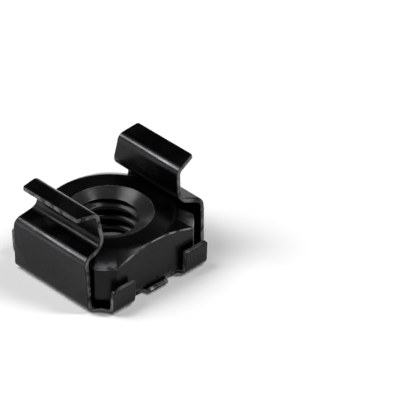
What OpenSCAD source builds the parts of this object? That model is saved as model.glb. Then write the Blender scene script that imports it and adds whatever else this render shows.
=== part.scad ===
// Rack cage nut: a square nut held loosely in a folded spring cage that
// clips into a square panel hole.  Millimetres, +Z along the thread axis
// and away from the cage floor.  Origin: underside of the cage floor, on
// the axis of its clearance hole.

/* [Sheet] */

// Thickness of the spring steel strip
sheet = 0.45; // [0.4:0.05:0.5]

// Inside radius of the folds between floor, walls and tabs
fold_radius = 0.3; // [0.2:0.05:0.35]

// Inside radius of the shoulder fold at the top of each wall
shoulder_radius = 0.35; // [0.2:0.05:0.5]

// Inside radius of the soft fold where each leg leaves its shoulder
root_radius = 0.8; // [0.4:0.05:0.9]

// Inside radius of the fold between a leg and its hook
hook_radius = 0.35; // [0.2:0.05:0.5]

/* [Cage walls] */

// Distance between the outsides of the two walls at the floor
cage_length = 13.3; // [12.8:0.1:15]

// Width of each wall along the floor fold
wall_width = 9.3; // [9:0.1:9.6]

// Width of each wall just below its shoulder
wall_top_width = 9.05; // [8.6:0.05:9.3]

// Height of the shoulder fold above the underside of the floor
shoulder_height = 5.3; // [5.2:0.1:6.5]

// Outward lean of each wall
wall_lean = 1.8; // [0:0.2:3]

/* [Legs and hooks] */

// Span of the square panel hole the legs pass through
panel_hole = 9.5; // [9.3:0.05:10]

// Gap left between each leg and the edge of the panel hole
leg_clearance = 0.05; // [0:0.05:0.2]

// Rise of the left shoulder (-X side) from the wall to the foot of its leg
left_shoulder_rise = 0.55; // [0.4:0.05:1]

// Rise of the right shoulder (+X side) from the wall to the foot of its leg
right_shoulder_rise = 0.9; // [0.4:0.05:1]

// Height from the shoulder fold to the hook fold
leg_height = 3.55; // [3.3:0.05:4.2]

// Outward lean of each leg
leg_lean = 6; // [0:1:10]

// Reach of each hook, from its fold to the free end
hook_reach = 2; // [1.6:0.1:2.4]

// Upward tilt of the left hook (-X side)
left_hook_tilt = 4; // [0:1:20]

// Upward tilt of the right hook (+X side)
right_hook_tilt = 15; // [0:1:20]

// Width of the strip at the foot of each leg
leg_foot_width = 8.1; // [7.6:0.1:8.4]

// Width of the strip at the hook fold
hook_fold_width = 7.4; // [6.8:0.1:7.6]

// Width of the free end of each hook
hook_end_width = 6.7; // [5.6:0.1:6.8]

/* [Floor and corner tabs] */

// Distance between the outsides of opposite corner tabs at the floor
cage_depth = 12.6; // [12.5:0.1:13]

// Distance from the axis to the outer edge of each tab
tab_outer = 5.4; // [5.2:0.1:5.6]

// Distance from the axis to the inner edge of each tab
tab_inner = 2.85; // [2.6:0.05:3.6]

// Height of each corner tab above the underside of the floor
tab_height = 2.5; // [1.8:0.05:3.2]

// Outward lean of each corner tab
tab_lean = 3; // [0:0.5:5]

// Radius of the upper corners of each tab
tab_corner = 0.25; // [0.1:0.05:0.5]

// Width across the end of the carrier stub on each open side
stub_width = 2.1; // [1.2:0.1:2.4]

// Distance from the axis to the end of each carrier stub
stub_reach = 6.15; // [5.9:0.05:6.3]

// Depth of the notches, from the outside of the tabs
notch_depth = 0.85; // [0.75:0.05:0.95]

// Radius of the inner corners of the notches
notch_corner = 0.3; // [0.1:0.05:0.4]

// Diameter of the clearance hole through the floor
floor_hole = 8.3; // [8:0.1:9]

/* [Square nut] */

// Width across the flats of the nut
nut_width = 11.4; // [10.4:0.1:11.5]

// Thickness of the nut
nut_height = 4.5; // [4:0.1:4.6]

// Diameter that the upright corners of the nut are turned to
nut_corner = 14.3; // [13.4:0.1:15]

// Diameter of the flat on the crowned top of the nut
crown_flat = 11.1; // [10:0.1:12]

// Slope of the crown that cuts the top corners of the nut
crown_slope = 30; // [20:1:45]

// Diameter of the flat on the underside of the nut, inside its corner chamfers
foot_flat = 12.8; // [12:0.1:14]

// Width of the chamfer round the bottom of the nut
foot_break = 0.3; // [0.2:0.05:0.5]

// Thread size: nominal diameter
thread_diameter = 6; // [5.5:0.5:6]

// Thread pitch
thread_pitch = 1; // [0.8:0.05:1]

// Diameter of the countersink at the top of the thread
top_sink = 7.6; // [6.6:0.1:8]

// Diameter of the countersink at the bottom of the thread
bottom_sink = 6.8; // [6.4:0.1:7.8]

// Angle between opposite sides of each countersink
sink_angle = 120; // [90:1:130]

/* [Hidden] */

$fn = 72;

half = sheet / 2;
wide = wall_width / 2;

// corner points of the strip's middle layer, one wing, outward and up
wall_top_z = shoulder_height - half;
wall_foot = [cage_length / 2 - half, half];
wall_top = [wall_foot[0] + (wall_top_z - half) * tan(wall_lean), wall_top_z];
hook_fold = [panel_hole / 2 - leg_clearance - half + 0.4 * leg_height * tan(leg_lean),
             wall_top_z + leg_height];
wing_radii = [0, fold_radius, shoulder_radius, root_radius, hook_radius, 0];
function leg_foot(rise) = [hook_fold[0] - (leg_height - rise) * tan(leg_lean), wall_top_z + rise];
function hook_end(tilt) = hook_fold + hook_reach * [cos(tilt), sin(tilt)];
function wing_points(rise, tilt) =
    [[0, half], wall_foot, wall_top, leg_foot(rise), hook_fold, hook_end(tilt)];

tab_points = [[0, half], [cage_depth / 2 - half, half],
              [cage_depth / 2 - half + (tab_height - half) * tan(tab_lean), tab_height]];
tab_radii = [0, fold_radius, 0];

notch_y = cage_depth / 2 - notch_depth;
fold_start_x = cage_length / 2 - sheet - fold_radius;
fold_start_y = cage_depth / 2 - sheet - fold_radius;
lap = 0.8;

thread_minor = thread_diameter - 1.0825 * thread_pitch;
nut_floor = sheet;

// turn of the path at point i, positive to the left
function heading(points, i) = atan2(points[i + 1][1] - points[i][1],
                                    points[i + 1][0] - points[i][0]);
function turn(points, i) =
    let (d = heading(points, i) - heading(points, i - 1))
    d > 180 ? d - 360 : d < -180 ? d + 360 : d;

// length that the fold at point i takes from the flats beside it
function setback(points, radii, i) =
    i == 0 || i == len(points) - 1 ? 0
    : (radii[i] + half) * tan(abs(turn(points, i)) / 2);

// length of the flat that starts at point i
function flat(points, radii, i) =
    norm(points[i + 1] - points[i]) - setback(points, radii, i) - setback(points, radii, i + 1);

// ring sector of one sheet thickness; the rest of the strip follows it
module fold(angle, radius) {
    side = angle > 0 ? 1 : -1;
    reach = 2 * (radius + sheet);
    translate([0, side * (radius + half)]) {
        intersection() {
            difference() {
                circle(r = radius + sheet);
                circle(r = radius);
            }
            translate([0, -reach]) square([reach, 2 * reach]);
            rotate(angle) translate([-reach, -reach]) square([reach, 2 * reach]);
        }
        rotate(angle)
            translate([0, -side * (radius + half)])
                children();
    }
}

// section of the strip from point i onwards, laid along +X with its middle layer on the X axis
module strip_section(points, radii, i, start) {
    run = i == 0 ? start : flat(points, radii, i);
    translate([0, -half]) square([run, sheet]);
    if (i < len(points) - 2)
        translate([run, 0])
            fold(turn(points, i + 1), radii[i + 1])
                strip_section(points, radii, i + 1, start);
}

// outline of a wing seen from outside, in Y and Z; fold is the length its hook fold takes
module wing_outline(rise, fold) {
    neck_z = wall_top[1] - 0.5;
    foot_z = wall_top_z + rise + 0.1;
    top_z = hook_fold[1] - fold;
    foot = leg_foot_width / 2;
    top = hook_fold_width / 2;
    neck = wall_top_width / 2;
    polygon([[-wide, -1], [wide, -1], [wide, 0], [neck, neck_z], [foot, foot_z], [top, top_z],
             [top, top_z + 4], [-top, top_z + 4], [-top, top_z], [-foot, foot_z],
             [-neck, neck_z], [-wide, 0]]);
}

// strip trimmed from one edge of a hook, so that it narrows towards its free end
module hook_trim(tilt, fold) {
    near = hook_fold[0] + fold * cos(tilt);
    end_x = hook_end(tilt)[0];
    far = end_x + 0.5;
    top = hook_fold_width / 2;
    slope = (hook_fold_width - hook_end_width) / 2 / (end_x - near);
    translate([0, 0, hook_fold[1] - 1])
        linear_extrude(height = 4)
            polygon([[near, top], [far, top - slope * (far - near)], [far, top + 2],
                     [near, top + 2]]);
}

// one wing on the +X side: wall, shoulder, leg and hook
module wing(rise, tilt) {
    points = wing_points(rise, tilt);
    fold = setback(points, wing_radii, 4);
    difference() {
        intersection() {
            translate([fold_start_x - lap, wide, half])
                rotate([90, 0, 0])
                    linear_extrude(height = wall_width)
                        strip_section(points, wing_radii, 0, lap);
            rotate([90, 0, 90])
                linear_extrude(height = 12)
                    wing_outline(rise, fold);
        }
        hook_trim(tilt, fold);
        mirror([0, 1, 0]) hook_trim(tilt, fold);
    }
}

// outline of a tab seen from the open side, in X and Z, with round upper corners
module tab_outline() {
    low = tab_height - tab_corner;
    translate([tab_inner, -1]) square([tab_outer - tab_inner, low + 1]);
    translate([tab_inner + tab_corner, -1]) square([tab_outer - tab_inner - 2 * tab_corner, tab_height + 2]);
    for (x = [tab_inner + tab_corner, tab_outer - tab_corner])
        translate([x, low]) circle(r = tab_corner);
}

// one corner tab, at +X and +Y
module tab() {
    intersection() {
        translate([tab_outer, fold_start_y - lap, half])
            rotate([90, 0, 90])
                mirror([0, 0, 1])
                    linear_extrude(height = tab_outer - tab_inner)
                        strip_section(tab_points, tab_radii, 0, lap);
        translate([0, cage_depth, 0])
            rotate([90, 0, 0])
                linear_extrude(height = cage_depth)
                    tab_outline();
    }
}

// floor blank in plan: one quarter, from the X axis round to the Y axis
quarter = [[fold_start_x, 0], [fold_start_x, wide], [fold_start_x + 0.3, wide],
           [tab_outer + 0.25, wide + 0.5], [tab_outer, fold_start_y + 0.1],
           [tab_outer, fold_start_y], [tab_inner, fold_start_y], [tab_inner, notch_y],
           [stub_width / 2 + 0.2, notch_y], [stub_width / 2, stub_reach]];

// metal left in one inner corner of a notch, open towards +X and +Y
module notch_fillet() {
    difference() {
        translate([-lap / 2, -lap / 2]) square(notch_corner + lap / 2);
        translate([notch_corner, notch_corner]) circle(r = notch_corner);
    }
}

module floor_plate() {
    last = len(quarter) - 1;
    linear_extrude(height = sheet)
        difference() {
            union() {
                polygon(concat(
                    quarter,
                    [for (i = [last : -1 : 0]) [-quarter[i][0], quarter[i][1]]],
                    [for (p = quarter) [-p[0], -p[1]]],
                    [for (i = [last : -1 : 0]) [quarter[i][0], -quarter[i][1]]]));
                for (sx = [0, 1], sy = [0, 1])
                    mirror([sx, 0])
                        mirror([0, sy])
                            translate([tab_inner, notch_y])
                                mirror([1, 0])
                                    notch_fillet();
            }
            circle(d = floor_hole);
        }
}

module spring_cage() {
    color([0.10, 0.10, 0.11])
    union() {
        floor_plate();
        wing(right_shoulder_rise, right_hook_tilt);
        mirror([1, 0, 0]) wing(left_shoulder_rise, left_hook_tilt);
        for (sx = [0, 1], sy = [0, 1])
            mirror([sx, 0, 0])
                mirror([0, sy, 0])
                    tab();
    }
}

// square with its corners turned round about the thread axis
module nut_outline() {
    intersection() {
        square(nut_width, center = true);
        circle(d = nut_corner);
    }
}

// wedge cut from the bottom edge of one side of the nut
module foot_cut() {
    over = 0.2;
    translate([-nut_width, nut_width / 2, 0])
        rotate([90, 0, 90])
            linear_extrude(height = 2 * nut_width)
                polygon([[-foot_break - over, -over], [over, -over], [over, foot_break + over]]);
}

module square_nut() {
    sink = tan(sink_angle / 2);
    top_depth = (top_sink - thread_minor) / 2 / sink;
    bottom_depth = (bottom_sink - thread_minor) / 2 / sink;
    over = 0.1;
    crown_base = crown_flat / 2 + nut_height / tan(crown_slope);
    foot_top = (foot_flat + 2 * nut_height / tan(crown_slope)) / 2;
    color([0.13, 0.13, 0.14])
    translate([0, 0, nut_floor])
    difference() {
        intersection() {
            linear_extrude(height = nut_height) nut_outline();
            cylinder(h = nut_height, r1 = crown_base, r2 = crown_flat / 2);
            cylinder(h = nut_height, r1 = foot_flat / 2, r2 = foot_top);
        }
        for (turn = [0 : 90 : 270]) rotate(turn) foot_cut();
        translate([0, 0, -1]) cylinder(h = nut_height + 2, d = thread_minor);
        translate([0, 0, nut_height - top_depth])
            cylinder(h = top_depth + over, d1 = thread_minor, d2 = top_sink + 2 * over * sink);
        translate([0, 0, -over])
            cylinder(h = bottom_depth + over, d1 = bottom_sink + 2 * over * sink, d2 = thread_minor);
    }
}

spring_cage();
square_nut();
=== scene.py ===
"""Rack cage nut: looks of the folded spring cage and of the square nut it holds.

Lengths in the classes are millimetres unless they say otherwise; meshes are in metres.
"""
import logging
import math
from dataclasses import dataclass, field
from enum import Enum

import bmesh
import bpy
from mathutils import Matrix, Vector
from mathutils.geometry import delaunay_2d_cdt


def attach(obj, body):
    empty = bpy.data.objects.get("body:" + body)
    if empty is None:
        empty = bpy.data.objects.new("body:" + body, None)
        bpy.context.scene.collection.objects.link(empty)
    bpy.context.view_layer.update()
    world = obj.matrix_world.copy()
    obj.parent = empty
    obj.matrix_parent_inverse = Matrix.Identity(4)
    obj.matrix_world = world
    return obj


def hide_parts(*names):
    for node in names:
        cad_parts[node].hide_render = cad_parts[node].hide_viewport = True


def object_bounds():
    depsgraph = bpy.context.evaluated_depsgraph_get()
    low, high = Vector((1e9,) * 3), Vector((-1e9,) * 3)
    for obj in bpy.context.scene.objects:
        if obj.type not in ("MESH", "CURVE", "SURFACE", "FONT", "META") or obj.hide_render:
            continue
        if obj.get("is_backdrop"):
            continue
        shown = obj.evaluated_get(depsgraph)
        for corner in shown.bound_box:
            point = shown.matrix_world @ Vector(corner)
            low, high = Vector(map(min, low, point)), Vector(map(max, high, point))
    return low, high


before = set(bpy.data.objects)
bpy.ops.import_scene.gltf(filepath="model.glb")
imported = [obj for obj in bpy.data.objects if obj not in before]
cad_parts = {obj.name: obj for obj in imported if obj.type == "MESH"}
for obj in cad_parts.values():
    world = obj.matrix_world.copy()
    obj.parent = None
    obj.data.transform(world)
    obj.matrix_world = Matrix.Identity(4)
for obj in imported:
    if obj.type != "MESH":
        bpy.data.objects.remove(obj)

log = logging.getLogger("cage_nut")
MM = 0.001
HOLE_TURNS = 96
RIM_STEPS = 4
CORNER_STEPS = 5
EDGE_PLACES = 90
FOLD_FACET = math.radians(9)
Pair = tuple[float, float]


def new_object(name: str, mesh: bpy.types.Mesh) -> bpy.types.Object:
    """Links a mesh to the scene as an object.

    Args:
        name: Name of the object.
        mesh: Its mesh, in metres.

    Returns:
        The new object.
    """
    obj = bpy.data.objects.new(name, mesh)
    bpy.context.scene.collection.objects.link(obj)
    return obj


def lerp(a: float, b: float, t: float) -> float:
    """Finds a value between two others.

    Args:
        a: Value at t = 0.
        b: Value at t = 1.
        t: How far from the first to the second.

    Returns:
        The value there.
    """
    return a + (b - a) * t


def table_value(table: list[Pair], x: float) -> float:
    """Reads a broken line at one place.

    Args:
        table: Points (x, value) in rising x.
        x: Where to read.

    Returns:
        The value, held level past both ends.
    """
    if x <= table[0][0]:
        return table[0][1]
    for (x0, y0), (x1, y1) in zip(table, table[1:]):
        if x <= x1:
            return lerp(y0, y1, (x - x0) / (x1 - x0)) if x1 > x0 else y1
    return table[-1][1]


def round_corners(points: list[Pair], radii: list[float], steps: int, closed: bool) -> list[Pair]:
    """Rounds the corners of a broken line with true arcs.

    Args:
        points: Corner points in order.
        radii: Wanted radius at each corner, 0 to keep it sharp.
        steps: Facets in each rounding.
        closed: Whether the last point joins the first.

    Returns:
        The new points. A rounded corner always gives steps + 1 of them.
    """
    out: list[Pair] = []
    count = len(points)
    for i, (x, y) in enumerate(points):
        if radii[i] <= 0 or (not closed and i in (0, count - 1)):
            out.append((x, y))
            continue
        ax, ay = points[i - 1][0] - x, points[i - 1][1] - y
        bx, by = points[(i + 1) % count][0] - x, points[(i + 1) % count][1] - y
        la, lb = math.hypot(ax, ay), math.hypot(bx, by)
        ax, ay, bx, by = ax / la, ay / la, bx / lb, by / lb
        opening = math.acos(max(-1.0, min(1.0, ax * bx + ay * by)))
        reach = min(radii[i] / math.tan(opening / 2), 0.48 * la, 0.48 * lb)
        radius = reach * math.tan(opening / 2)
        mx, my = ax + bx, ay + by
        length = math.hypot(mx, my) or 1.0
        depth = math.hypot(reach, radius)
        cx, cy = x + mx / length * depth, y + my / length * depth
        start = math.atan2(y + ay * reach - cy, x + ax * reach - cx)
        end = math.atan2(y + by * reach - cy, x + bx * reach - cx)
        sweep = (end - start + math.pi) % (2 * math.pi) - math.pi
        for k in range(steps + 1):
            a = start + sweep * k / steps
            out.append((cx + radius * math.cos(a), cy + radius * math.sin(a)))
    return out


@dataclass(frozen=True)
class StripPath:
    """Middle layer of a folded strip: flats joined by true-arc folds.

    Attributes:
        points: Corner points, outward and up.
        radii: Radius of the middle layer at each corner.
    """

    points: tuple[Pair, ...]
    radii: tuple[float, ...]

    def heading(self, i: int) -> float:
        """Finds the direction of one flat.

        Args:
            i: Corner where the flat starts.

        Returns:
            The direction in radians.
        """
        (x0, y0), (x1, y1) = self.points[i], self.points[i + 1]
        return math.atan2(y1 - y0, x1 - x0)

    def turn(self, i: int) -> float:
        """Finds the fold angle at one corner.

        Args:
            i: Number of the corner.

        Returns:
            The signed angle in radians, 0 at both ends of the strip.
        """
        if i in (0, len(self.points) - 1):
            return 0.0
        return (self.heading(i) - self.heading(i - 1) + math.pi) % (2 * math.pi) - math.pi

    def setback(self, i: int) -> float:
        """Finds how much of each flat beside a corner its fold takes.

        Args:
            i: Number of the corner.

        Returns:
            The length taken from each flat.
        """
        return self.radii[i] * math.tan(abs(self.turn(i)) / 2)

    def legs(self) -> list[tuple[float, float, float, float]]:
        """Lists flats and folds in order.

        Returns:
            For each one its start and end along the developed strip, its starting
            heading and its turn.
        """
        out: list[tuple[float, float, float, float]] = []
        s = 0.0
        for i in range(len(self.points) - 1):
            (x0, y0), (x1, y1) = self.points[i], self.points[i + 1]
            run = math.hypot(x1 - x0, y1 - y0) - self.setback(i) - self.setback(i + 1)
            out.append((s, s + run, self.heading(i), 0.0))
            s += run
            if i + 2 < len(self.points):
                arc = self.radii[i + 1] * abs(self.turn(i + 1))
                out.append((s, s + arc, self.heading(i), self.turn(i + 1)))
                s += arc
        return out

    def length(self) -> float:
        """Returns the developed length."""
        return self.legs()[-1][1]

    def place(self, s: float, n: float) -> tuple[float, float]:
        """Folds one point of the strip.

        Args:
            s: Distance along the developed strip.
            n: Distance from the middle layer, positive on the inner side.

        Returns:
            The point's distance outward and its height.
        """
        x, z = self.points[0]
        for start, end, heading, turn in self.legs():
            part = min(s, end) - start
            last = s <= end or end == self.length()
            if last:
                part = s - start
            if turn == 0.0:
                x += part * math.cos(heading)
                z += part * math.sin(heading)
            else:
                side = 1.0 if turn > 0 else -1.0
                radius = (end - start) / abs(turn)
                angle = heading + side * part / radius
                x += side * radius * (math.sin(angle) - math.sin(heading))
                z -= side * radius * (math.cos(angle) - math.cos(heading))
                heading = angle
            if last:
                return x - n * math.sin(heading), z + n * math.cos(heading)
        raise ValueError("empty path")

    def bend(self, s: float) -> tuple[int, float]:
        """Finds how far into a fold a place lies.

        Args:
            s: Distance along the developed strip.

        Returns:
            The fold's corner number and 0 at its ends to 1 in its middle.
        """
        for i, (start, end, _, turn) in enumerate(self.legs()):
            if turn and start < s < end:
                return (i + 1) // 2, math.sin(math.pi * (s - start) / (end - start)) ** 2
        return 0, 0.0

    def cuts(self, step: float) -> list[float]:
        """Lists where the strip is divided so that each fold is round.

        Args:
            step: Largest angle of a facet, in radians.

        Returns:
            Places along the developed strip.
        """
        out: list[float] = []
        for start, end, _, turn in self.legs():
            if turn:
                count = max(3, math.ceil(abs(turn) / step))
                out += [lerp(start, end, k / count) for k in range(count + 1)]
        return out


@dataclass
class Sheet:
    """A sheared plate with a rounded rim, built flat and then folded.

    Attributes:
        outline: Outer edge, anticlockwise.
        hole: Radius of the round hole in the middle.
        thickness: Sheet thickness.
        upper_round: Radius of the rim on the upper face.
        lower_round: Radius of the rim on the lower face.
    """

    outline: list[Pair]
    hole: float
    thickness: float
    upper_round: float
    lower_round: float

    def inset(self, loop: list[Pair], depth: float) -> list[Pair]:
        """Moves a closed loop inward.

        Args:
            loop: Points, with the metal on their left.
            depth: Distance to move.

        Returns:
            The moved points, one for each old point.
        """
        out: list[Pair] = []
        count = len(loop)
        for i, (x, y) in enumerate(loop):
            px, py = loop[i - 1]
            qx, qy = loop[(i + 1) % count]
            ax, ay, bx, by = x - px, y - py, qx - x, qy - y
            la, lb = math.hypot(ax, ay), math.hypot(bx, by)
            nx, ny = -ay / la - by / lb, ax / la + bx / lb
            scale = 2.0 / max(nx * nx + ny * ny, 0.6)
            out.append((x + nx * scale * depth, y + ny * scale * depth))
        return out

    def rim(self) -> list[tuple[float, float, float]]:
        """Lists the rim's section.

        Returns:
            For each ring its inset, its height and its share of edge wear.
        """
        half = self.thickness / 2
        out: list[tuple[float, float, float]] = []
        climb = range(RIM_STEPS + 1)
        for sign, r, ks in ((1, self.upper_round, climb), (-1, self.lower_round, climb[::-1])):
            for k in ks:
                a = math.radians(90 * k / RIM_STEPS)
                out.append((r * (1 - math.sin(a)), sign * (half - r * (1 - math.cos(a))),
                            k / RIM_STEPS))
        return out

    def solid(self) -> bmesh.types.BMesh:
        """Builds the flat plate.

        Returns:
            A closed mesh whose Z is the distance from the middle layer, with the wear
            of each vertex in a float layer named wear.
        """
        bm = bmesh.new()
        wear = bm.verts.layers.float.new("wear")
        hole = [(self.hole * math.cos(-2 * math.pi * k / HOLE_TURNS),
                 self.hole * math.sin(-2 * math.pi * k / HOLE_TURNS)) for k in range(HOLE_TURNS)]
        caps: dict[int, list[list[bmesh.types.BMVert]]] = {0: [], 1: []}
        rim = self.rim()
        for loop in (self.outline, hole):
            rings: list[list[bmesh.types.BMVert]] = []
            for depth, height, worn in rim:
                ring = [bm.verts.new((x, y, height)) for x, y in self.inset(loop, depth)]
                for vert in ring:
                    vert[wear] = worn
                rings.append(ring)
            for upper, lower in zip(rings, rings[1:]):
                for i in range(len(loop)):
                    j = (i + 1) % len(loop)
                    bm.faces.new((lower[i], lower[j], upper[j], upper[i]))
            caps[0].append(rings[0])
            caps[1].append(rings[-1])
        for side, loops in caps.items():
            verts = [v for ring in loops for v in ring]
            edges: list[tuple[int, int]] = []
            base = 0
            for ring in loops:
                edges += [(base + i, base + (i + 1) % len(ring)) for i in range(len(ring))]
                base += len(ring)
            flat, _, faces, _, _, _ = delaunay_2d_cdt(
                [v.co.xy for v in verts], edges, [], 2, 1e-9)
            for face in faces:
                centre = sum((flat[i] for i in face), Vector((0, 0))) / len(face)
                if centre.length < self.hole + 0.02:
                    continue
                order = face if side == 0 else list(reversed(face))
                bm.faces.new([verts[i] for i in order])
        return bm

    @staticmethod
    def divide(bm: bmesh.types.BMesh, axis: int, places: list[float]) -> None:
        """Cuts the mesh across at given places.

        Args:
            bm: Mesh to cut.
            axis: 0 to cut across X, 1 to cut across Y.
            places: Signed distances from the middle.
        """
        normal = Vector((0, 0, 0))
        normal[axis] = 1.0
        for place in places:
            geom = bm.verts[:] + bm.edges[:] + bm.faces[:]
            bmesh.ops.bisect_plane(bm, geom=geom, dist=1e-6, plane_co=normal * place,
                                   plane_no=normal)


class Side(Enum):
    """The two walls of the cage."""

    LEFT = -1
    RIGHT = 1


@dataclass
class SpringCage:
    """The folded cage: floor, two walls with shoulders, legs and hooks, four corner tabs.

    All sizes are millimetres and angles degrees. The neck, where the legs stand as far
    apart as the panel hole lets them, lies neck_share of the legs' height below the hooks.
    """

    sheet: float = 0.45
    fold_radius: float = 0.3
    shoulder_radius: float = 0.35
    root_radius: float = 0.8
    hook_radius: float = 0.35
    cage_length: float = 13.3
    wall_width: float = 9.3
    wall_top_width: float = 9.05
    shoulder_height: float = 5.3
    wall_lean: float = 1.8
    panel_hole: float = 9.5
    leg_clearance: float = 0.05
    neck_share: float = 0.4
    left_shoulder_rise: float = 0.55
    right_shoulder_rise: float = 0.9
    leg_height: float = 3.55
    leg_lean: float = 6.0
    hook_reach: float = 2.0
    left_hook_tilt: float = 4.0
    right_hook_tilt: float = 15.0
    leg_foot_width: float = 8.1
    hook_fold_width: float = 7.4
    hook_end_width: float = 6.7
    cage_depth: float = 12.6
    tab_outer: float = 5.4
    tab_inner: float = 2.85
    tab_height: float = 2.5
    tab_lean: float = 3.0
    tab_corner: float = 0.25
    stub_width: float = 2.1
    stub_reach: float = 6.15
    notch_depth: float = 0.85
    notch_corner: float = 0.3
    floor_hole: float = 8.3
    hook_corner: float = 0.28
    wall_start: float = 0.3
    edge_ease: float = 0.35

    def wing(self, side: Side) -> StripPath:
        """Finds the path of one wing in X and Z.

        Args:
            side: Which wing.

        Returns:
            The path, drawn as if it ran towards +X.
        """
        right = side is Side.RIGHT
        rise = self.right_shoulder_rise if right else self.left_shoulder_rise
        tilt = math.radians(self.right_hook_tilt if right else self.left_hook_tilt)
        half = self.sheet / 2
        top = self.shoulder_height - half
        foot_x = self.cage_length / 2 - half
        lean = math.tan(math.radians(self.leg_lean))
        hook_x = self.panel_hole / 2 - self.leg_clearance - half
        hook_x += self.neck_share * self.leg_height * lean
        points = ((0.0, half), (foot_x, half),
                  (foot_x + (top - half) * math.tan(math.radians(self.wall_lean)), top),
                  (hook_x - (self.leg_height - rise) * lean, top + rise),
                  (hook_x, top + self.leg_height),
                  (hook_x + self.hook_reach * math.cos(tilt),
                   top + self.leg_height + self.hook_reach * math.sin(tilt)))
        radii = (0.0, self.fold_radius + half, self.shoulder_radius + half,
                 self.root_radius + half, self.hook_radius + half, 0.0)
        return StripPath(points, radii)

    def tab(self) -> StripPath:
        """Returns the path of one corner tab in Y and Z."""
        half = self.sheet / 2
        foot = self.cage_depth / 2 - half
        rise = self.tab_height - half
        lean = math.tan(math.radians(self.tab_lean))
        return StripPath(((0.0, half), (foot, half), (foot + rise * lean, self.tab_height)),
                         (0.0, self.fold_radius + half, 0.0))

    def wing_edge(self, side: Side) -> list[Pair]:
        """Lists one edge of a developed wing.

        Args:
            side: Which wing.

        Returns:
            Points (distance out, half width), from the floor to the hook's free end.
        """
        path = self.wing(side)
        leg_z = path.points[3][1]
        fold_z = path.points[4][1] - path.setback(4)
        table = [(0.0, self.wall_width / 2), (path.points[2][1] - 0.5, self.wall_top_width / 2),
                 (leg_z + 0.1, self.leg_foot_width / 2), (fold_z, self.hook_fold_width / 2)]
        legs = path.legs()
        hook_start, end = legs[-1][0], legs[-1][1]
        start = legs[0][1] + self.wall_start

        def width(s: float) -> float:
            """Finds the half width before it is smoothed.

            Args:
                s: Distance along the developed strip.

            Returns:
                The half width there.
            """
            if s > hook_start:
                t = (s - hook_start) / (end - hook_start)
                return lerp(self.hook_fold_width, self.hook_end_width, t) / 2
            return table_value(table, path.place(s, 0.0)[1])

        out: list[Pair] = []
        for k in range(EDGE_PLACES + 1):
            s = lerp(start, end, k / EDGE_PLACES)
            reach = min(self.edge_ease, s - start, end - s)
            spread = [width(s + reach * (j / 4 - 1)) for j in range(9)]
            out.append((s, sum(spread) / len(spread)))
        return out

    def quarter(self, side: Side) -> list[Pair]:
        """Lists a quarter of the developed outline, from a hook's end to the stub.

        Args:
            side: Which wing it belongs to.

        Returns:
            Points as if the wing ran towards +X.
        """
        tab = self.tab()
        fold_y, tab_top = tab.legs()[0][1], tab.length()
        notch = self.cage_depth / 2 - self.notch_depth
        wall_y = self.wall_width / 2
        edge = self.wing_edge(side)
        end_s, end_w = edge[-1]
        corner = round_corners([(end_s, 0.0), (end_s, end_w), edge[-4]],
                               [0, self.hook_corner, 0], CORNER_STEPS, False)
        out = corner[1:-1] + edge[-5::-1]
        points = [out[-1], (self.tab_outer + 0.25, wall_y + 0.5),
                  (self.tab_outer, fold_y + 0.1), (self.tab_outer, tab_top),
                  (self.tab_inner, tab_top), (self.tab_inner, notch),
                  (self.stub_width / 2 + 0.2, notch), (self.stub_width / 2, self.stub_reach),
                  (0.0, self.stub_reach)]
        radii = [0, 0.5, 0.3, self.tab_corner, self.tab_corner * 0.7, self.notch_corner,
                 self.notch_corner * 0.8, 0.18, 0]
        return out + round_corners(points, radii, CORNER_STEPS, False)[1:]

    def outline(self) -> list[Pair]:
        """Returns the developed outline of the whole cage, anticlockwise."""
        upper = self.quarter(Side.RIGHT)
        upper += [(-x, y) for x, y in reversed(self.quarter(Side.LEFT)[:-1])]
        return upper + [(x, -y) for x, y in reversed(upper)]

    def fold(self, u: float, v: float, n: float) -> tuple[float, float, float]:
        """Folds one point of the flat cage.

        Args:
            u: Place along the walls' direction, measured on the flat sheet.
            v: Place along the open sides' direction, measured on the flat sheet.
            n: Height above the middle layer.

        Returns:
            The point in millimetres.
        """
        wing, tab = self.wing(Side.RIGHT if u > 0 else Side.LEFT), self.tab()
        if abs(v) > tab.legs()[0][1]:
            y, z = tab.place(abs(v), n)
            return u, math.copysign(y, v), z
        if abs(u) > wing.legs()[0][1]:
            x, z = wing.place(abs(u), n)
            return math.copysign(x, u), v, z
        return u, v, self.sheet / 2 + n

    def fold_burnish_and_sheen(self, u: float, n: float) -> float:
        """Finds a flat point's share of burnish and painted highlight: more metallic reflectivity
        on the outer face of the shoulder, root and hook folds, which brightens their highlight
        bands.

        Args:
            u: Place along the walls' direction, measured on the flat sheet.
            n: Height above the middle layer.

        Returns:
            0 on flats, up to 1 in the middle of a shoulder or hook fold.
        """
        corner, depth = self.wing(Side.RIGHT if u > 0 else Side.LEFT).bend(abs(u))
        face, share = {2: (-1, 1.0), 3: (-1, 0.4), 4: (1, 1.0)}.get(corner, (0, 0.0))
        return share * depth * max(0.0, 2 * face * n / self.sheet)

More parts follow.
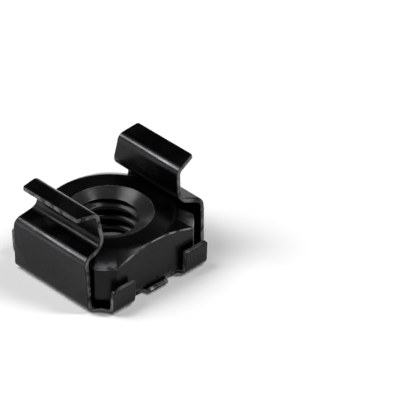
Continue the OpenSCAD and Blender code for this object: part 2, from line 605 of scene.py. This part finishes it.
    def build(self) -> bpy.types.Object:
        """Builds the folded cage.

        Returns:
            The cage object, in metres.
        """
        sheet = Sheet(self.outline(), self.floor_hole / 2, self.sheet, 0.1, 0.12)
        bm = sheet.solid()
        Sheet.divide(bm, 0, self.wing(Side.RIGHT).cuts(FOLD_FACET))
        Sheet.divide(bm, 0, [-s for s in self.wing(Side.LEFT).cuts(FOLD_FACET)])
        Sheet.divide(bm, 1, [sign * s for s in self.tab().cuts(FOLD_FACET) for sign in (1, -1)])
        # Burnish and painted highlight on the outer faces of the folds: raised reflectivity that
        # brightens their bands.
        burnish_and_sheen = bm.verts.layers.float.new("burnish_and_sheen")
        for vert in bm.verts:
            vert[burnish_and_sheen] = self.fold_burnish_and_sheen(vert.co.x, vert.co.z)
            vert.co = Vector(self.fold(*vert.co)) * MM
        bmesh.ops.recalc_face_normals(bm, faces=bm.faces[:])
        for face in bm.faces:
            face.smooth = True
        mesh = bpy.data.meshes.new("spring_cage_sheet")
        bm.to_mesh(mesh)
        bm.free()
        obj = new_object("cage_sheet", mesh)
        normals = obj.modifiers.new("normals", "WEIGHTED_NORMAL")
        normals.weight = 100
        return obj


@dataclass
class SquareNut:
    """The captive nut: crowned top, turned upright corners, countersunk threaded bore.

    All sizes are millimetres and angles degrees. Each entry of rounds is the radius and
    the edge wear of one corner of the section, from the bore's lip round to its foot.
    """

    width: float = 11.4
    height: float = 4.5
    corner: float = 14.3
    crown_flat: float = 11.1
    crown_slope: float = 30.0
    foot_flat: float = 12.8
    foot_break: float = 0.3
    thread_diameter: float = 6.0
    pitch: float = 1.0
    top_sink: float = 7.6
    bottom_sink: float = 6.8
    sink_angle: float = 120.0
    lift: float = 0.45
    lip_depth: float = 0.2
    rounds: tuple[Pair, ...] = ((0.12, 1.0), (0.7, 0.1), (0.24, 1.5), (0.3, 0.6),
                                (0.2, 0.3), (0.12, 0.3))
    crease_rows: tuple[float, ...] = (-0.012, -0.004, 0.004, 0.012)
    corner_nick: float = 0.75
    # Burnish and painted highlight: extra metallic reflectivity on the countersink cones, the
    # thread and the worn outer rounds, which brightens them.
    cone_burnish_and_sheen: float = 0.36
    thread_burnish_and_sheen: float = 0.2
    edge_burnish_and_sheen: float = 0.6
    columns: int = 288
    rows_per_pitch: int = 30

    def reach(self, angle: float, shrink: float = 0.0) -> float:
        """Finds the nut's outline in one direction.

        Args:
            angle: Direction in radians.
            shrink: How far the outline is moved in.

        Returns:
            Distance from the axis.
        """
        a = abs((angle + math.pi / 4) % (math.pi / 2) - math.pi / 4)
        return min((self.width / 2 - shrink) / math.cos(a), self.corner / 2)

    def thread(self, angle: float, z: float) -> float:
        """Finds the radius of the thread's surface.

        Args:
            angle: Direction in radians.
            z: Height above the nut's underside.

        Returns:
            Radius between the minor and the major radius.
        """
        minor = (self.thread_diameter - 1.0825 * self.pitch) / 2
        depth = self.thread_diameter / 2 - minor
        t = (z / self.pitch - angle / (2 * math.pi)) % 1.0
        flank = (min(t, 1 - t) - 0.125) / 0.3125
        soft = 0.1
        if flank <= -soft:
            flank = 0.0
        elif flank < soft:
            flank = (flank + soft) ** 2 / (4 * soft)
        elif flank > 1 + soft:
            flank = 1.0
        elif flank > 1 - soft:
            flank = 1 - (1 + soft - flank) ** 2 / (4 * soft)
        return minor + depth * flank

    def section(self, angle: float) -> list[tuple[float, float, float]]:
        """Lists the nut's section in one direction, from the bore's top round to its bottom.

        Args:
            angle: Direction in radians.

        Returns:
            For each point its radius, its height and its share of edge wear.
        """
        slope = math.tan(math.radians(self.crown_slope))
        outer = self.reach(angle)
        flat = self.crown_flat / 2
        sink = math.tan(math.radians(self.sink_angle / 2))
        crown = self.height - (outer - flat) * slope
        lip, low_lip = self.top_sink / 2, self.bottom_sink / 2
        foot = min(self.reach(angle, self.foot_break), self.foot_flat / 2)
        foot_z = max(self.foot_break, (outer - foot) * slope)
        dip = self.lip_depth
        points = [(lip - dip * sink, self.height - dip), (lip, self.height), (flat, self.height),
                  (outer, crown), (outer, foot_z), (foot, 0.0), (low_lip, 0.0),
                  (low_lip - dip * sink, dip)]
        radii = [0, *(radius for radius, _ in self.rounds), 0]
        rounded = round_corners(points, radii, CORNER_STEPS, False)
        arch = [1.0 - abs(2 * k / CORNER_STEPS - 1) for k in range(CORNER_STEPS + 1)]
        wear = [0.0, *(edge * w for _, edge in self.rounds for w in arch), 0.0]
        if outer > self.corner / 2 - 0.001:
            wear[2 * (CORNER_STEPS + 1) + 1] = self.corner_nick
        return [(r, z, w) for (r, z), w in zip(rounded, wear)]

    def bore(self, angle: float, z: float) -> float:
        """Finds the radius of the bore, thread and countersinks together.

        Args:
            angle: Direction in radians.
            z: Height above the nut's underside.

        Returns:
            Radius of the surface.
        """
        sink = math.tan(math.radians(self.sink_angle / 2))
        upper = self.top_sink / 2 - (self.height - z) * sink
        lower = self.bottom_sink / 2 - z * sink
        return max(self.thread(angle, z), upper, lower)

    def build(self) -> bpy.types.Object:
        """Builds the nut.

        Returns:
            The nut object, in metres.
        """
        rows = round((self.height - 2 * self.lip_depth) / self.pitch * self.rows_per_pitch)
        grid: list[list[int]] = []
        verts: list[tuple[float, float, float]] = []
        wear: list[float] = []
        burnish_and_sheen: list[float] = []
        crease = math.acos(self.width / self.corner)
        angles = {2 * math.pi * i / self.columns for i in range(self.columns)}
        angles |= {side * math.pi / 2 + sign * (crease + off) for side in range(4)
                   for sign in (1, -1) for off in self.crease_rows}
        angles = sorted({round(a % (2 * math.pi), 5) for a in angles})
        for angle in angles:
            column = self.section(angle)
            for k in range(1, rows):
                z = lerp(self.lip_depth, self.height - self.lip_depth, k / rows)
                column.append((self.bore(angle, z), z, 0.0))
            ids: list[int] = []
            for r, z, worn in column:
                ids.append(len(verts))
                verts.append((r * math.cos(angle) * MM, r * math.sin(angle) * MM,
                              (z + self.lift) * MM))
                wear.append(worn)
                cut = self.bore(angle, z) - self.thread(angle, z)
                # Burnish and painted highlight on the outer rounds, the countersink cones and the
                # thread.
                if r >= self.top_sink / 2:
                    burnish_and_sheen.append(self.edge_burnish_and_sheen * min(1, worn))
                else:
                    burnish_and_sheen.append(self.cone_burnish_and_sheen if cut > 1e-6 else self.thread_burnish_and_sheen)
            grid.append(ids)
        faces: list[tuple[int, int, int, int]] = []
        for i, here in enumerate(grid):
            there = grid[(i + 1) % len(grid)]
            for k in range(len(here)):
                n = (k + 1) % len(here)
                faces.append((here[k], here[n], there[n], there[k]))
        mesh = bpy.data.meshes.new("square_nut_body")
        mesh.from_pydata(verts, [], faces)
        for name, values in (("wear", wear), ("burnish_and_sheen", burnish_and_sheen)):
            mesh.attributes.new(name, "FLOAT", "POINT").data.foreach_set("value", values)
        mesh.shade_smooth()
        bm = bmesh.new()
        bm.from_mesh(mesh)
        bmesh.ops.recalc_face_normals(bm, faces=bm.faces[:])
        bm.to_mesh(mesh)
        bm.free()
        obj = new_object("nut_body", mesh)
        normals = obj.modifiers.new("normals", "WEIGHTED_NORMAL")
        normals.weight = 80
        return obj


class Effect(Enum):
    """Shader effects shared by the finishes, by the name of their node group."""

    GRAIN = "coating_grain"
    WEAR = "edge_wear"
    # Burnish and painted highlight: raised reflectivity on folds, cut cones and nut edges.
    BURNISH_AND_SHEEN = "burnish_and_painted_sheen"


@dataclass
class EffectLibrary:
    """Builds each shared effect once.

    Attributes:
        groups: The node groups made so far.
    """

    groups: dict[Effect, bpy.types.NodeTree] = field(default_factory=dict)

    @staticmethod
    def sockets(group: bpy.types.NodeTree, ins: dict[str, float], outs: list[str]) -> None:
        """Adds number sockets to a group.

        Args:
            group: Group to add to.
            ins: Names and first values of the inputs.
            outs: Names of the outputs.
        """
        for name, value in ins.items():
            made = group.interface.new_socket(name, in_out="INPUT", socket_type="NodeSocketFloat")
            made.default_value = value
        for name in outs:
            group.interface.new_socket(name, in_out="OUTPUT", socket_type="NodeSocketFloat")

    @staticmethod
    def noise(group: bpy.types.NodeTree, detail: float) -> bpy.types.Node:
        """Adds a noise in object coordinates.

        Args:
            group: Group to add to.
            detail: Number of octaves.

        Returns:
            The noise node.
        """
        coords = group.nodes.new("ShaderNodeTexCoord")
        node = group.nodes.new("ShaderNodeTexNoise")
        node.inputs["Detail"].default_value = detail
        node.inputs["Roughness"].default_value = 0.6
        group.links.new(coords.outputs["Object"], node.inputs["Vector"])
        return node

    @staticmethod
    def remap(group: bpy.types.NodeTree, low: float, high: float) -> bpy.types.Node:
        """Adds a node that spreads one band of values over 0 to 1.

        Args:
            group: Group to add to.
            low: Value that becomes 0.
            high: Value that becomes 1.

        Returns:
            The map range node.
        """
        node = group.nodes.new("ShaderNodeMapRange")
        node.interpolation_type = "SMOOTHSTEP"
        node.inputs["From Min"].default_value = low
        node.inputs["From Max"].default_value = high
        return node

    def grain(self) -> bpy.types.NodeTree:
        """Returns the group for a coating's fine orange peel and broad uneven gloss."""
        if Effect.GRAIN in self.groups:
            return self.groups[Effect.GRAIN]
        group = bpy.data.node_groups.new(Effect.GRAIN.value, "ShaderNodeTree")
        self.sockets(group, {"Peel Scale": 2500.0, "Cloud Scale": 350.0, "Peel Share": 0.5},
                     ["Height", "Cloud"])
        ins, outs = group.nodes.new("NodeGroupInput"), group.nodes.new("NodeGroupOutput")
        peel, cloud = self.noise(group, 3.0), self.noise(group, 2.0)
        spread = self.remap(group, 0.35, 0.68)
        mix = group.nodes.new("ShaderNodeMix")
        link = group.links.new
        link(ins.outputs["Peel Scale"], peel.inputs["Scale"])
        link(ins.outputs["Cloud Scale"], cloud.inputs["Scale"])
        link(cloud.outputs["Fac"], spread.inputs["Value"])
        link(ins.outputs["Peel Share"], mix.inputs["Factor"])
        link(cloud.outputs["Fac"], mix.inputs["A"])
        link(peel.outputs["Fac"], mix.inputs["B"])
        link(mix.outputs["Result"], outs.inputs["Height"])
        link(spread.outputs["Result"], outs.inputs["Cloud"])
        self.groups[Effect.GRAIN] = group
        return group

    def wear(self) -> bpy.types.NodeTree:
        """Returns the group for coating worn off along edges."""
        if Effect.WEAR in self.groups:
            return self.groups[Effect.WEAR]
        group = bpy.data.node_groups.new(Effect.WEAR.value, "ShaderNodeTree")
        self.sockets(group, {"Amount": 1.0, "Break Scale": 900.0}, ["Mask"])
        ins, outs = group.nodes.new("NodeGroupInput"), group.nodes.new("NodeGroupOutput")
        edge = group.nodes.new("ShaderNodeAttribute")
        edge.attribute_name = "wear"
        chips = self.noise(group, 4.0)
        breaks, rise = self.remap(group, 0.36, 0.62), self.remap(group, 0.35, 0.95)
        both, scaled = group.nodes.new("ShaderNodeMath"), group.nodes.new("ShaderNodeMath")
        both.operation = scaled.operation = "MULTIPLY"
        link = group.links.new
        link(ins.outputs["Break Scale"], chips.inputs["Scale"])
        link(chips.outputs["Fac"], breaks.inputs["Value"])
        link(edge.outputs["Fac"], rise.inputs["Value"])
        link(breaks.outputs["Result"], both.inputs[0])
        link(rise.outputs["Result"], both.inputs[1])
        link(both.outputs["Value"], scaled.inputs[0])
        link(ins.outputs["Amount"], scaled.inputs[1])
        link(scaled.outputs["Value"], outs.inputs["Mask"])
        self.groups[Effect.WEAR] = group
        return group


    def burnish_and_sheen(self) -> bpy.types.NodeTree:
        """Returns the group for the thinned coating's burnish where the metal was bent or cut,
        which also paints a highlight there.
        """
        if Effect.BURNISH_AND_SHEEN in self.groups:
            return self.groups[Effect.BURNISH_AND_SHEEN]
        group = bpy.data.node_groups.new(Effect.BURNISH_AND_SHEEN.value, "ShaderNodeTree")
        self.sockets(group, {"Amount": 1.0, "Cloud Scale": 500.0}, ["Mask"])
        ins, outs = group.nodes.new("NodeGroupInput"), group.nodes.new("NodeGroupOutput")
        share = group.nodes.new("ShaderNodeAttribute")
        share.attribute_name = "burnish_and_sheen"
        cloud, spread = self.noise(group, 2.0), self.remap(group, 0.3, 0.65)
        spread.inputs["To Min"].default_value = 0.6
        both, scaled = group.nodes.new("ShaderNodeMath"), group.nodes.new("ShaderNodeMath")
        both.operation = scaled.operation = "MULTIPLY"
        link = group.links.new
        link(ins.outputs["Cloud Scale"], cloud.inputs["Scale"])
        link(cloud.outputs["Fac"], spread.inputs["Value"])
        link(share.outputs["Fac"], both.inputs[0])
        link(spread.outputs["Result"], both.inputs[1])
        link(both.outputs["Value"], scaled.inputs[0])
        link(ins.outputs["Amount"], scaled.inputs[1])
        link(scaled.outputs["Value"], outs.inputs["Mask"])
        self.groups[Effect.BURNISH_AND_SHEEN] = group
        return group


@dataclass(frozen=True)
class BlackFinish:
    """Thin glossy black coating over steel, worn to the metal along edges.

    Attributes:
        name: Name of the material.
        coat: Linear colour of the coating.
        cloudy: Linear colour of the coating where it lies thinner.
        burnish_and_sheen_colour: Linear colour of the thinned coating along folds and cut cones,
            laid on with metallic reflectivity that paints a highlight there.
        steel: Linear colour of the worn edges.
        roughness: Roughness where the coating is smoothest and where it is dullest.
        peel: Strength of the orange peel.
        peel_scale: Its scale, in cycles a metre.
        worn: How much of the edges is worn through.
        burnish_and_sheen_amount: How strongly the folds and cut cones get the burnish and its
            painted highlight.
        peel_depth: Height of the orange peel, in metres.
        worn_roughness: Roughness of the worn edges.
        ior: Index of refraction, low for a finish with little gloss head on.
    """

    name: str
    coat: tuple[float, float, float] = (0.0008, 0.0008, 0.0009)
    cloudy: tuple[float, float, float] = (0.0022, 0.0022, 0.0024)
    burnish_and_sheen_colour: tuple[float, float, float] = (0.12, 0.12, 0.125)
    steel: tuple[float, float, float] = (0.30, 0.30, 0.31)
    roughness: tuple[float, float] = (0.19, 0.3)
    peel: float = 0.12
    peel_scale: float = 2500.0
    worn: float = 0.5
    burnish_and_sheen_amount: float = 0.8
    peel_depth: float = 0.00002
    worn_roughness: float = 0.42
    ior: float = 1.27

    def build(self, effects: EffectLibrary) -> bpy.types.Material:
        """Makes the material.

        Args:
            effects: Where the shared effects come from.

        Returns:
            The node-based material.
        """
        material = bpy.data.materials.new(self.name)
        material.use_nodes = True
        tree = material.node_tree
        new, link = tree.nodes.new, tree.links.new
        shader = tree.nodes["Principled BSDF"]
        shader.inputs["IOR"].default_value = self.ior
        grain, wear, burnish_and_sheen = (new("ShaderNodeGroup") for _ in range(3))
        grain.node_tree, wear.node_tree = effects.grain(), effects.wear()
        burnish_and_sheen.node_tree = effects.burnish_and_sheen()
        grain.inputs["Peel Scale"].default_value = self.peel_scale
        wear.inputs["Amount"].default_value = self.worn
        burnish_and_sheen.inputs["Amount"].default_value = self.burnish_and_sheen_amount
        tone, burnish_and_sheen_mix, rub = (new("ShaderNodeMix") for _ in range(3))
        for mix, colour in ((tone, self.cloudy), (burnish_and_sheen_mix, self.burnish_and_sheen_colour), (rub, self.steel)):
            mix.data_type = "RGBA"
            mix.inputs["B"].default_value = (*colour, 1.0)
        tone.inputs["A"].default_value = (*self.coat, 1.0)
        link(grain.outputs["Cloud"], tone.inputs["Factor"])
        # Burnish colour on folds and cut cones, which also paints a highlight there.
        link(burnish_and_sheen.outputs["Mask"], burnish_and_sheen_mix.inputs["Factor"])
        link(wear.outputs["Mask"], rub.inputs["Factor"])
        link(tone.outputs["Result"], burnish_and_sheen_mix.inputs["A"])
        link(burnish_and_sheen_mix.outputs["Result"], rub.inputs["A"])
        link(rub.outputs["Result"], shader.inputs["Base Color"])
        # Metallic from real edge wear and from the painted highlight of the burnish mask.
        metal = new("ShaderNodeMath")
        metal.operation = "MAXIMUM"
        link(wear.outputs["Mask"], metal.inputs[0])
        link(burnish_and_sheen.outputs["Mask"], metal.inputs[1])
        link(metal.outputs["Value"], shader.inputs["Metallic"])
        rough, dull = new("ShaderNodeMapRange"), new("ShaderNodeMix")
        rough.inputs["To Min"].default_value, rough.inputs["To Max"].default_value = self.roughness
        dull.inputs["B"].default_value = self.worn_roughness
        link(grain.outputs["Cloud"], rough.inputs["Value"])
        link(rough.outputs["Result"], dull.inputs["A"])
        link(wear.outputs["Mask"], dull.inputs["Factor"])
        link(dull.outputs["Result"], shader.inputs["Roughness"])
        bump = new("ShaderNodeBump")
        bump.inputs["Strength"].default_value = self.peel
        bump.inputs["Distance"].default_value = self.peel_depth
        link(grain.outputs["Height"], bump.inputs["Height"])
        link(bump.outputs["Normal"], shader.inputs["Normal"])
        return material


@dataclass(frozen=True)
class Lamp:
    """A soft rectangular lamp that faces the origin.

    Attributes:
        name: Name of the lamp.
        azimuth: Compass angle of the lamp from +X, in degrees.
        elevation: Height angle in degrees.
        size: Width and height in metres.
        power: Power in watts.
        distance: Distance from the origin in metres.
    """

    name: str
    azimuth: float
    elevation: float
    size: Pair
    power: float
    distance: float = 1.0

    def build(self) -> bpy.types.Object:
        """Makes the lamp.

        Returns:
            The lamp object.
        """
        data = bpy.data.lights.new(self.name, "AREA")
        data.shape = "RECTANGLE"
        data.size, data.size_y = self.size
        data.energy = self.power
        obj = bpy.data.objects.new(self.name, data)
        a, e = math.radians(self.azimuth), math.radians(self.elevation)
        spot = Vector((math.cos(a) * math.cos(e), math.sin(a) * math.cos(e), math.sin(e)))
        obj.location = spot * self.distance
        obj.rotation_euler = spot.to_track_quat("Z", "Y").to_euler()
        bpy.context.scene.collection.objects.link(obj)
        return obj


LAMPS = (Lamp("left_softbox", 132, 55, (0.4, 0.7), 8.0),
         Lamp("right_softbox", -47, 53, (0.17, 0.6), 5.0))
SHEET_FINISH = BlackFinish("black_sheet")
NUT_FINISH = BlackFinish("black_nut", coat=(0.0012, 0.0012, 0.0013), roughness=(0.2, 0.32),
                         peel=0.22, peel_scale=1800.0, worn=1.0)


@dataclass
class Studio:
    """Floor, surroundings and camera.

    Attributes:
        azimuth: Camera azimuth in degrees.
        elevation: Camera elevation in degrees.
        lens: Focal length in millimetres.
        aim: Camera's place along right, up and back, in millimetres.
        floor_reach: Half the floor's side, in metres.
        floor_grey: Linear level of the floor's colour.
        floor_lift: Light that the floor adds where it is seen or mirrored.
        sky: Height (0 at the horizon, 1 overhead) and level of the surroundings.
    """

    azimuth: float = -43.7
    elevation: float = 34.8
    lens: float = 360.0
    aim: tuple[float, float, float] = (7.644, 5.0, 338.98)
    floor_reach: float = 3.0
    floor_grey: float = 0.95
    floor_lift: float = 0.08
    sky: tuple[Pair, ...] = ((0.0, 1.0), (0.04, 1.0), (0.2, 0.05), (1.0, 0.012))

    def floor(self) -> bpy.types.Object:
        """Makes the pale floor.

        Returns:
            The floor object.
        """
        mesh = bpy.data.meshes.new("floor")
        r = self.floor_reach
        mesh.from_pydata([(-r, -r, 0), (r, -r, 0), (r, r, 0), (-r, r, 0)], [], [(0, 1, 2, 3)])
        obj = new_object("floor", mesh)
        obj.location.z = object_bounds()[0][2] - 0.00002
        material = bpy.data.materials.new("floor_white")
        material.use_nodes = True
        tree = material.node_tree
        shader = tree.nodes["Principled BSDF"]
        shader.inputs["Base Color"].default_value = (*[self.floor_grey] * 3, 1.0)
        shader.inputs["Roughness"].default_value = 0.9
        shader.inputs["Specular IOR Level"].default_value = 0.0
        shader.inputs["Emission Color"].default_value = (1.0, 1.0, 1.0, 1.0)
        path, lift = tree.nodes.new("ShaderNodeLightPath"), tree.nodes.new("ShaderNodeMath")
        both, seen = tree.nodes.new("ShaderNodeMath"), tree.nodes.new("ShaderNodeMath")
        seen.use_clamp = True
        lift.operation = "MULTIPLY"
        lift.inputs[1].default_value = self.floor_lift
        link = tree.links.new
        link(path.outputs["Is Camera Ray"], both.inputs[0])
        link(path.outputs["Is Glossy Ray"], both.inputs[1])
        link(both.outputs["Value"], seen.inputs[0])
        link(path.outputs["Is Transmission Ray"], seen.inputs[1])
        link(seen.outputs["Value"], lift.inputs[0])
        link(lift.outputs["Value"], shader.inputs["Emission Strength"])
        mesh.materials.append(material)
        obj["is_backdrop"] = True
        return obj

    def world(self) -> None:
        """Makes the studio's surroundings: pale at the horizon, dimmer overhead."""
        world = bpy.data.worlds.new("studio")
        world.use_nodes = True
        tree = world.node_tree
        new, link = tree.nodes.new, tree.links.new
        coords, split = new("ShaderNodeTexCoord"), new("ShaderNodeSeparateXYZ")
        ramp = new("ShaderNodeValToRGB")
        while len(ramp.color_ramp.elements) < len(self.sky):
            ramp.color_ramp.elements.new(0.5)
        for element, (place, level) in zip(ramp.color_ramp.elements, self.sky):
            element.position = place
            element.color = (level, level, level, 1.0)
        link(coords.outputs["Generated"], split.inputs["Vector"])
        link(split.outputs["Z"], ramp.inputs["Fac"])
        link(ramp.outputs["Color"], tree.nodes["Background"].inputs["Color"])
        bpy.context.scene.world = world

    def camera(self) -> bpy.types.Object:
        """Makes the camera.

        Returns:
            The camera object.
        """
        a, e = math.radians(self.azimuth), math.radians(self.elevation)
        right = Vector((math.cos(a), math.sin(a), 0))
        back = Vector((math.sin(a) * math.cos(e), -math.cos(a) * math.cos(e), math.sin(e)))
        up = back.cross(right)
        data = bpy.data.cameras.new("camera")
        data.lens = self.lens
        data.sensor_width = 36.0
        data.clip_start = 0.01
        data.clip_end = 20.0
        obj = bpy.data.objects.new("camera", data)
        turn = Matrix((right, up, back)).transposed().to_4x4()
        place = (right * self.aim[0] + up * self.aim[1] + back * self.aim[2]) * MM
        obj.matrix_world = Matrix.Translation(place) @ turn
        bpy.context.scene.collection.objects.link(obj)
        bpy.context.scene.camera = obj
        return obj


def main() -> None:
    """Builds the stage and each piece, and dresses them."""
    logging.basicConfig(level=logging.INFO, format="%(message)s")
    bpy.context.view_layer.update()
    studio = Studio()
    studio.floor()
    studio.world()
    studio.camera()
    for lamp in LAMPS:
        lamp.build()
    effects = EffectLibrary()
    cage_finish, nut_finish = (look.build(effects) for look in (SHEET_FINISH, NUT_FINISH))
    for piece, node, finish in ((SpringCage().build(), "spring_cage", cage_finish),
                                (SquareNut().build(), "square_nut", nut_finish)):
        for obj in (piece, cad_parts[node]):
            obj.data.materials.clear()
            obj.data.materials.append(finish)
        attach(piece, "root")
        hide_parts(node)
        log.info("%s: %d faces", piece.name, len(piece.data.polygons))
    bpy.context.scene.view_settings.view_transform = "Standard"


if __name__ == "__main__":
    main()
